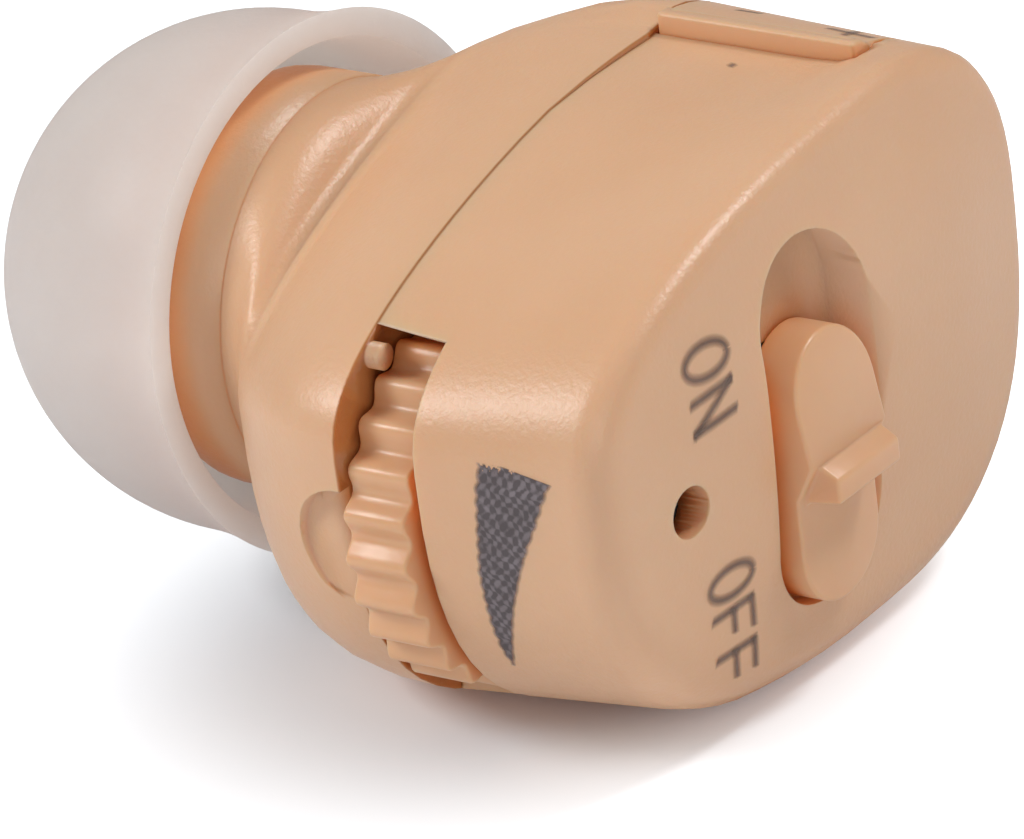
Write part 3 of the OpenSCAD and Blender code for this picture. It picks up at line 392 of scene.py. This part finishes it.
# Point of an outline at a turn in degrees, drawn in by an inset
def outlinePoint(turn, shape, inset):
    left, right, top, bottom, slopeTop, slopeBottom, midX, midZ, power = shape
    c, n = math.cos(math.radians(turn)), math.sin(math.radians(turn))
    u = math.copysign(abs(c) ** (2 / power), c)
    w = math.copysign(abs(n) ** (2 / power), n)
    halfX = (right if c > 0 else left) - inset
    halfZ = (top if n > 0 else bottom) - inset
    return midX + u * halfX, midZ + w * halfZ + (slopeTop if n > 0 else slopeBottom) * u * halfX * abs(w)


# Depth of the hollow beside the door
def hollowAt(turn, x, y, f):
    if math.sin(math.radians(turn)) < 0:
        return 0
    side = ease(1 - (f["edgeX"] - x) / f["spread"]) if x < f["edgeX"] else 1 - ease((x - f["edgeX"]) / f["end"])
    if y > 0:
        return side * f["hollow"][1] * (1 - ease(y / f["shoulderY"]))
    return side * f["hollow"][0] * (1 - ease((f["fade"] - y - f["doorL"]) / (2 * f["fade"])))


# Point of the front form: t runs to 1 along the side, to 2 round the face's edge and to 3 at the face's middle
def frontPoint(turn, t, hollowed, f):
    r = f["soft"] + (f["crisp"] - f["soft"]) * math.sqrt((1 + math.sin(math.radians(turn + f["crispTurn"]))) / 2)
    arc = math.radians(90 * min(max(t - 1, 0), 1))
    k = 1 - max(t - 2, 0)
    flat = min(t, 1) * (f["faceY"] - r)
    x, z = outlinePoint(turn, mix(f["seam"], f["face"], flat / f["faceY"]), r * (1 - math.cos(arc)))
    y = flat + r * math.sin(arc) + f["dome"] * (1 - k * k)
    z -= hollowed * hollowAt(turn, x, -y, f)
    return f["face"][6] * (1 - k) + x * k, -y, f["face"][7] * (1 - k) + z * k


# Point of the rear form: t runs to 1 from the seam to the shoulder, and to 2 at the crease
def rearPoint(turn, t, f):
    s = max(t - 1, 0)
    y = t * f["shoulderY"] if t < 1 else f["shoulderY"] * (1 - s) + f["creaseY"] * s
    bowl = mix(f["seam"], f["shoulder"], min(t, 1) ** f["bowlPower"])
    x, z = outlinePoint(turn, mix(bowl, f["crease"], 1 - (1 - s) ** f["bowlPower"]), 0)
    share = 1 if y > 0 else f["hollow"][1] / f["hollow"][0]
    return x, y, z - share * hollowAt(turn, x, y, f)


# A fine copy of the form, used only to read its normals from
def guideOf(name, point, stations, count=144):
    rings = [[at(*point(360 * i / count, t)) for i in range(count)] for t in stations]
    faces = [(j * count + i, j * count + (i + 1) % count, (j + 1) * count + (i + 1) % count, (j + 1) * count + i)
             for j in range(len(rings) - 1) for i in range(count)]
    mesh = bpy.data.meshes.new(name)
    mesh.from_pydata([p for ring in rings for p in ring], [], faces)
    guide = bpy.data.objects.new(name, mesh)
    bpy.context.scene.collection.objects.link(guide)
    return guide


# Gives the moulded surfaces the form's own normals, where a face lies on the form and along it
def trueNormals(obj, guide, away=0.06, turn=25):
    bpy.context.view_layer.update()
    tree = BVHTree.FromObject(guide, bpy.context.evaluated_depsgraph_get())
    mesh, fine = obj.data, guide.data
    normals = [Vector(n.vector) for n in mesh.corner_normals]
    for face in mesh.polygons:
        found = []
        for i in face.loop_indices:
            place = mesh.vertices[mesh.loops[i].vertex_index].co
            where, flat, index, gap = tree.find_nearest(place)
            if gap > away * mm or abs(flat.dot(face.normal)) < math.cos(math.radians(turn)):
                found = []
                break
            patch = fine.polygons[index].vertices
            shares = poly_3d_calc([fine.vertices[v].co for v in patch], where)
            normal = sum((fine.vertices[v].normal * k for v, k in zip(patch, shares)), Vector())
            found.append((i, normal.normalized() * (1 if normal.dot(face.normal) > 0 else -1)))
        for i, normal in found:
            normals[i] = normal
    mesh.normals_split_custom_set(normals)


# Stations of the guides: along the side and round the face's edge, over the face's dome, and along the bowl
edgeCount, domeCount, bowlCount = 12, 20, 16
frontSteps = [part + i / edgeCount for part in (0, 1) for i in range(edgeCount)]
frontSteps += [2 + i / domeCount for i in range(domeCount)]
rearSteps = [i / bowlCount for i in range(2 * bowlCount + 1)]
guides = [
    guideOf("frontGuide", lambda turn, t: frontPoint(turn, t, 1, formSet), frontSteps),
    guideOf("doorGuide", lambda turn, t: frontPoint(turn, t, 0, formSet), frontSteps),
    guideOf("rearGuide", lambda turn, t: rearPoint(turn, t, formSet), rearSteps),
]
frontShell = skinOf("front_shell", "frontShellSkin", "shell", shellAbs)
rearShell = skinOf("rear_shell", "rearShellSkin", "shell", shellAbs)
batteryDoor = skinOf("battery_door", "batteryDoorSkin", "door", shellAbs)
for skin, guide in zip((frontShell, batteryDoor, rearShell), guides):
    trueNormals(skin, guide)
    bpy.data.objects.remove(guide, do_unlink=True)
skinOf("volume_wheel", "volumeWheelSkin", "wheel", trimAbs, angle=50, bevel=0.07, flatAngle=0.5)
skinOf("power_slider", "powerSliderSkin", "slider", trimAbs, angle=30, bevel=0.1, flatAngle=0.5)
print("stage: shells and controls skinned")

# Grip edge of the door: a bar with a flat top and rounded edges, which runs along the door's free edge
lipSet = {"left": 4.69, "middle": 5.05, "right": 5.35, "front": -4.93, "rear": -0.07, "rise": 0.09, "sunk": 0.03,
          "deep": 0.75, "round": 0.08}


# Height of the front form's outline over a place on its top
def lipLevel(x, y, f):
    shape = mix(f["seam"], f["face"], -y / f["faceY"])
    return outlinePoint(math.degrees(math.acos(((x - shape[6]) / shape[1]) ** (shape[8] / 2))), shape, 0)[1]


def makeLip(s, f):
    shape = bmesh.new()
    ends = []
    for y in (s["front"], s["rear"]):
        low = lipLevel(s["left"], y, f) - s["deep"]
        section = [(s["left"], low), (s["left"], lipLevel(s["left"], y, f) + s["rise"]),
                   (s["middle"], lipLevel(s["middle"], y, f) + s["rise"]),
                   (s["right"], lipLevel(s["right"], y, f) - s["sunk"]), (s["right"], low)]
        ends.append([shape.verts.new(at(x, y, z)) for x, z in section])
    for i in range(len(section)):
        k = (i + 1) % len(section)
        shape.faces.new((ends[0][i], ends[0][k], ends[1][k], ends[1][i]))
    shape.faces.new(ends[0])
    shape.faces.new(ends[1])
    bmesh.ops.recalc_face_normals(shape, faces=shape.faces)
    mesh = bpy.data.meshes.new("gripEdge")
    shape.to_mesh(mesh)
    shape.free()
    lip = bpy.data.objects.new("gripEdge", mesh)
    bpy.context.scene.collection.objects.link(lip)
    roundEdges(lip, s["round"], segments=4, angle=30)
    soften(lip, angle=40)
    mesh.materials.append(shellAbs)
    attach(lip, "door")


makeLip(lipSet, formSet)

# Ear tip: the dome with its flared skirt, whose open end is cut askew, and the collar inside. Lengths are in
# millimetres and angles in degrees; spare is more skirt than needed, for the askew cut to trim, and weld is how far
# the collar reaches into the dome's wall
tipSet = {
    "centre": 7.3, "radius": 5.55, "wall": 0.6, "skirt": 1.65, "flare": 0.26, "turn": 4, "lean": -1.5, "rim": 0.12,
    "collarIn": 2.225, "collarOut": 2.975, "collarFrom": 8.1, "boreEnd": 11.65, "outlet": 1.2, "through": (5, 14),
    "weld": 0.3, "spare": 1, "block": (20, 6), "arcStep": 3, "skirtSteps": 10, "steps": 128, "collarSteps": 64,
}


# Turns a closed profile, given by radius and length, round the bore's axis
def spun(name, profile, steps):
    mesh = bpy.data.meshes.new(name)
    obj = bpy.data.objects.new(name, mesh)
    bpy.context.scene.collection.objects.link(obj)
    shape = bmesh.new()
    points = [shape.verts.new((r * mm, y * mm, 0)) for r, y in profile]
    for i in range(len(points)):
        shape.edges.new((points[i], points[(i + 1) % len(points)]))
    shape.to_mesh(mesh)
    shape.free()
    pick(obj)
    bpy.ops.object.mode_set(mode="EDIT")
    bpy.ops.mesh.select_all(action="SELECT")
    bpy.ops.mesh.spin(steps=steps, angle=2 * math.pi, center=(0, 0, 0), axis=(0, 1, 0))
    bpy.ops.object.mode_set(mode="OBJECT")
    outwards(obj)
    return obj


def makeEarTip(s):
    inner = s["radius"] - s["wall"]
    arc = [math.radians(a) for a in range(0, 91, s["arcStep"])]
    skirt = [(s["skirt"] + s["spare"]) * i / s["skirtSteps"] for i in range(1, s["skirtSteps"] + 1)]
    profile = [(s["radius"] * math.cos(a), s["radius"] * math.sin(a)) for a in reversed(arc)]
    profile += [(s["radius"] + s["flare"] * (y / s["skirt"]) ** 2, -y) for y in skirt]
    profile += [(inner + s["flare"] * (y / s["skirt"]) ** 2, -y) for y in reversed(skirt)]
    profile += [(inner * math.cos(a), inner * math.sin(a)) for a in arc]
    dome = spun("earTipDome", [(max(r, 0.0), y) for r, y in profile], s["steps"])
    dome.location = at(0, s["centre"], 0)
    settle(dome)
    turned = Matrix.Rotation(-math.radians(s["turn"]), 4, "Z")
    leaned = Matrix.Rotation(math.radians(s["lean"]), 4, "X")
    askew = Matrix.Translation(at(0, s["centre"] - s["skirt"], 0)) @ turned @ leaned
    wide, deep = s["block"]
    bpy.ops.object.select_all(action="DESELECT")
    bpy.ops.mesh.primitive_cube_add(size=1)
    block = bpy.context.object
    block.matrix_world = askew @ Matrix.Translation((0, -deep / 2 * mm, 0)) \
        @ Matrix.Diagonal((wide * mm, deep * mm, wide * mm, 1))
    settle(block)
    cut(dome, block)
    low, high = s["collarFrom"], s["centre"] + math.sqrt(inner ** 2 - s["collarOut"] ** 2) + s["weld"]
    collar = spun("collar", [(0, low), (s["collarOut"], low), (s["collarOut"], high), (0, high)], s["collarSteps"])
    collar.location = at(0, 0, 0)
    settle(collar)
    cut(dome, collar, "UNION")
    low, high = s["through"]
    bore = spun("bore", [(0, low), (s["collarIn"], low), (s["collarIn"], s["boreEnd"]), (s["outlet"], s["boreEnd"]),
                         (s["outlet"], high), (0, high)], s["collarSteps"])
    bore.location = at(0, 0, 0)
    settle(bore)
    cut(dome, bore)
    roundEdges(dome, s["rim"], segments=4, angle=50)
    soften(dome, angle=40)
    dome.data.materials.append(silicone)
    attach(dome, "tip")
    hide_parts("ear_tip")


makeEarTip(tipSet)
print("stage: ear tip made")

# Prints: the centre lines of the letters' strokes on the face in X and Z, and of the cell's signs on the door in
# X and Y, all in millimetres. Each stroke lies one step higher than the one before, so that no two coincide; the
# flat prints start out in front of the face and above the top
printSet = {
    "width": 0.105, "soft": 0.1, "lift": 0.008, "step": 0.002, "pitch": 0.06, "ringSteps": 48,
    "front": -9, "above": 7,
    "onRing": (-3.955, 1.895, 0.65, 0.335), "offRing": (-3.895, -3.0, 0.67, 0.325),
    "on": [[(-3.357, 1.279), (-4.602, 1.168)], [(-3.357, 1.279), (-4.616, 0.542)],
           [(-4.616, 0.542), (-3.323, 0.632)]],
    "off": [[(-3.241, -3.626), (-4.473, -3.677)], [(-3.241, -3.626), (-3.15, -4.306)],
            [(-3.826, -3.666), (-3.778, -4.178)], [(-3.117, -4.652), (-4.337, -4.64)],
            [(-3.117, -4.652), (-3.038, -5.311)], [(-3.754, -4.643), (-3.664, -5.267)]],
    "specks": [[(3.68, -2.55), (3.76, -2.56)]],
    "signs": [[(6.02, -1.25), (6.1, -1.68)], [(5.82, -3.63), (5.65, -4.75)], [(5.45, -4.22), (6.05, -4.16)]],
}


# Strip of ink along a line, thinned out towards its edges, as a flat mesh in two axes; depth is the third one
def inkStrip(points, s, axes, depth, closed=False):
    shape = bmesh.new()
    cover = shape.verts.layers.float.new("cover")
    half, soft = s["width"] / 2, s["soft"]
    offsets = [(-half - soft, 0), (-half + soft / 2, 1), (0, 1), (half - soft / 2, 1), (half + soft, 0)]
    fine = []
    for a, b in zip(points, points[1:]):
        steps = max(2, int(math.dist(a, b) / s["pitch"]))
        fine += [mix(a, b, i / steps) for i in range(steps)]
    fine.append(points[-1])
    ways = [Vector(fine[min(i + 1, len(fine) - 1)]) - Vector(fine[max(i - 1, 0)]) for i in range(len(fine))]
    if not closed:
        before = Vector(fine[0]) - ways[0].normalized() * soft
        after = Vector(fine[-1]) + ways[-1].normalized() * soft
        fine = [before] + fine + [after]
        ways = [ways[0]] + ways + [ways[-1]]
    rows = []
    for i, (point, way) in enumerate(zip(fine, ways)):
        side = Vector((-way[1], way[0])).normalized()
        row = []
        for offset, full in offsets:
            flat = Vector(point) + side * offset
            place = [depth, depth, depth]
            place[axes[0]], place[axes[1]] = flat
            vert = shape.verts.new(at(*place))
            vert[cover] = full if closed or 0 < i < len(fine) - 1 else 0
            row.append(vert)
        rows.append(row)
    for a, b in zip(rows, rows[1:]):
        for i in range(len(offsets) - 1):
            shape.faces.new((a[i], a[i + 1], b[i + 1], b[i]))
    return shape


# Drops a flat print on a surface along a direction, from a little further back, and leaves out what would miss it
def drop(shape, tree, direction, lift, back=4):
    missed = []
    for v in shape.verts:
        hit = tree.ray_cast(v.co - direction * back * mm, direction)
        if hit[0]:
            v.co = hit[0] - direction * lift * mm
        else:
            missed.append(v)
    bmesh.ops.delete(shape, geom=missed, context="VERTS")


def makePrint(name, strokes, surface, body, direction, axes, depth, s, rings=()):
    bpy.context.view_layer.update()
    tree = BVHTree.FromObject(surface, bpy.context.evaluated_depsgraph_get())
    mesh = bpy.data.meshes.new(name)
    whole = bmesh.new()
    lines = [(line, False) for line in strokes]
    for midX, midZ, halfX, halfZ in rings:
        turns = [2 * math.pi * i / s["ringSteps"] for i in range(s["ringSteps"] + 1)]
        lines.append(([(midX + halfX * math.cos(a), midZ + halfZ * math.sin(a)) for a in turns], True))
    for i, (line, closed) in enumerate(lines):
        shape = inkStrip(line, s, axes, depth, closed)
        drop(shape, tree, direction, s["lift"] + s["step"] * i)
        piece = bpy.data.meshes.new("strip")
        shape.to_mesh(piece)
        shape.free()
        whole.from_mesh(piece)
        bpy.data.meshes.remove(piece)
    bmesh.ops.recalc_face_normals(whole, faces=whole.faces)
    for face in whole.faces:
        if face.normal.dot(direction) > 0:
            face.normal_flip()
    whole.to_mesh(mesh)
    whole.free()
    obj = bpy.data.objects.new(name, mesh)
    bpy.context.scene.collection.objects.link(obj)
    soften(obj, angle=60)
    mesh.materials.append(ink)
    obj.visible_shadow = False
    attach(obj, body)


onFace = {"direction": Vector((0, 1, 0)), "axes": (0, 2), "depth": printSet["front"], "s": printSet}
onTop = {"direction": Vector((0, 0, -1)), "axes": (0, 1), "depth": printSet["above"], "s": printSet}
makePrint("onPrint", printSet["on"], frontShell, "shell", rings=[printSet["onRing"]], **onFace)
makePrint("offPrint", printSet["off"], frontShell, "shell", rings=[printSet["offRing"]], **onFace)
makePrint("topSpeck", printSet["specks"], frontShell, "shell", **onTop)
makePrint("cellSigns", printSet["signs"], batteryDoor, "door", **onTop)

# Volume wedge on the left wall, in millimetres. Its rows give a level, then the place of the left and of the right
# edge along Y. The scallops of the edges have a pitch and a depth, and on the right they are calmer at the bottom;
# the ends fade over a number of rows
wedgeSet = {
    "rows": [(0.74, -3.44, -4.0), (0.5, -3.42, -5.15), (0.15, -3.33, -4.97), (-0.4, -3.27, -4.72),
             (-1.05, -3.19, -4.4), (-1.8, -3.08, -4.07), (-2.65, -3.02, -3.7), (-3.25, -2.97, -3.47),
             (-3.85, -2.93, -3.22), (-4.33, -2.94, -3.0)],
    "columns": 26, "steps": 9, "soft": 0.11, "scallop": (0.32, 0.05), "calm": (0.4, 1.5), "fadeRows": 2,
    "beside": -12, "lift": 0.01,
}


def makeWedge(s):
    bpy.context.view_layer.update()
    tree = BVHTree.FromObject(frontShell, bpy.context.evaluated_depsgraph_get())
    shape = bmesh.new()
    cover = shape.verts.layers.float.new("cover")
    across = shape.verts.layers.float.new("across")
    along = shape.verts.layers.float.new("along")
    rows = []
    total = (len(s["rows"]) - 1) * s["steps"]
    for j in range(total + 1):
        k = min(j // s["steps"], len(s["rows"]) - 2)
        z, left, right = mix(s["rows"][k], s["rows"][k + 1], j / s["steps"] - k)
        wave = s["scallop"][1] * abs(math.sin(math.pi * z / s["scallop"][0]))
        left += wave
        right -= wave * min(1, s["calm"][0] + max(z + s["calm"][1], 0))
        row = []
        for i in range(s["columns"] + 1):
            u = i / s["columns"]
            y = left + (right - left) * u
            vert = shape.verts.new(at(s["beside"], y, z))
            inset = min(left - y, y - right) / s["soft"]
            end = min(j, total - j) / s["fadeRows"]
            vert[cover] = max(0, min(1, inset, end))
            vert[across] = left - y
            vert[along] = z
            row.append(vert)
        rows.append(row)
    for a, b in zip(rows, rows[1:]):
        for i in range(s["columns"]):
            shape.faces.new((a[i], b[i], b[i + 1], a[i + 1]))
    drop(shape, tree, Vector((1, 0, 0)), s["lift"])
    for face in shape.faces:
        face.normal_update()
        if face.normal.x > 0:
            face.normal_flip()
    mesh = bpy.data.meshes.new("volumeWedge")
    shape.to_mesh(mesh)
    shape.free()
    obj = bpy.data.objects.new("volumeWedge", mesh)
    bpy.context.scene.collection.objects.link(obj)
    soften(obj, angle=60)
    mesh.materials.append(screenInk)
    obj.visible_shadow = False
    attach(obj, "shell")


makeWedge(wedgeSet)
print("stage: prints made")

# Floor and sky: the floor glows to the camera from one distance round the shadow's middle to another, both in
# millimetres, from the first strength to the second; the floor's size and gap are in metres
stageSet = {"middle": (-1.0, 1.5, -6.9), "near": 4.0, "far": 11.5, "glow": (0.02, 0.6), "size": 3.0, "gap": 0.0001,
            "sky": 0.33}


# Makes the floor white to the camera away from the shadow, without more light on the object
def addGlow(tree, shader, s):
    path = addNode(tree, "ShaderNodeLightPath")
    coord = addNode(tree, "ShaderNodeTexCoord")
    away = addNode(tree, "ShaderNodeVectorMath", {"operation": "DISTANCE", 1: at(*s["middle"])},
                   [(0, coord, "Object")])
    span = addNode(tree, "ShaderNodeMapRange", {
        "interpolation_type": "SMOOTHSTEP", "From Min": s["near"] * mm, "From Max": s["far"] * mm,
        "To Min": s["glow"][0], "To Max": s["glow"][1]}, [("Value", away, "Value")])
    level = addNode(tree, "ShaderNodeMath", {"operation": "MULTIPLY"},
                    [(0, path, "Is Camera Ray"), (1, span, "Result")])
    tree.links.new(level.outputs[0], shader.inputs["Emission Strength"])
    shader.inputs["Emission Color"].default_value = (1, 1, 1, 1)


def makeStage(s):
    bpy.ops.object.select_all(action="DESELECT")
    bpy.ops.mesh.primitive_plane_add(size=s["size"], location=(0, 0, cadBox[0][2] - s["gap"]))
    floor = bpy.context.object
    floor.name = "floor"
    mat, tree, shader = newMaterial("paperWhite", "#EFF4FA", rough=0.9)
    addGlow(tree, shader, s)
    floor.data.materials.append(mat)


# A dim white sky for the object, which the camera sees as plain white
def makeWorld(s):
    world = bpy.data.worlds.new("studio")
    bpy.context.scene.world = world
    world.use_nodes = True
    tree = world.node_tree
    soft = tree.nodes["Background"]
    soft.inputs["Color"].default_value = (1, 1, 1, 1)
    path = addNode(tree, "ShaderNodeLightPath")
    span = addNode(tree, "ShaderNodeMapRange", {"To Min": s["sky"]}, [("Value", path, "Is Camera Ray")])
    tree.links.new(span.outputs["Result"], soft.inputs["Strength"])


# A rectangular lamp; place, size and aim are in millimetres, and the power is in watts
def lamp(name, place, size, power, aim=(0, 0, 6)):
    bpy.ops.object.select_all(action="DESELECT")
    bpy.ops.object.light_add(type="AREA", location=[v * mm for v in place])
    obj = bpy.context.object
    obj.name = name
    obj.data.shape = "RECTANGLE"
    obj.data.size = size[0] * mm
    obj.data.size_y = size[1] * mm
    obj.data.energy = power
    way = Vector([v * mm for v in aim]) - obj.location
    obj.rotation_euler = way.to_track_quat("-Z", "Y").to_euler()


makeStage(stageSet)
makeWorld(stageSet)
lamp("keyLamp", place=(55, -70, 125), size=(30, 30), power=0.087)
lamp("sideLamp", place=(-82, 84, 96), size=(50, 50), power=0.103)
lamp("frontLamp", place=(-100, -100, 50), size=(80, 80), power=0.032)

# Camera: place in millimetres, turn in degrees, lens and sensor in millimetres, and clip distances in metres
viewSet = {"place": (-134.0, -101.321, 73.572), "turn": (65.5908, 6.42215, -55.44347), "lens": 313.242, "sensor": 36,
           "clip": (0.01, 10)}


def makeCamera(s):
    bpy.ops.object.select_all(action="DESELECT")
    bpy.ops.object.camera_add(location=at(*s["place"]), rotation=[math.radians(a) for a in s["turn"]])
    camera = bpy.context.object
    camera.data.lens = s["lens"]
    camera.data.sensor_width = s["sensor"]
    camera.data.clip_start, camera.data.clip_end = s["clip"]
    bpy.context.scene.camera = camera


makeCamera(viewSet)
bpy.context.scene.view_settings.view_transform = "Standard"
print("stage: floor, lights and camera set")
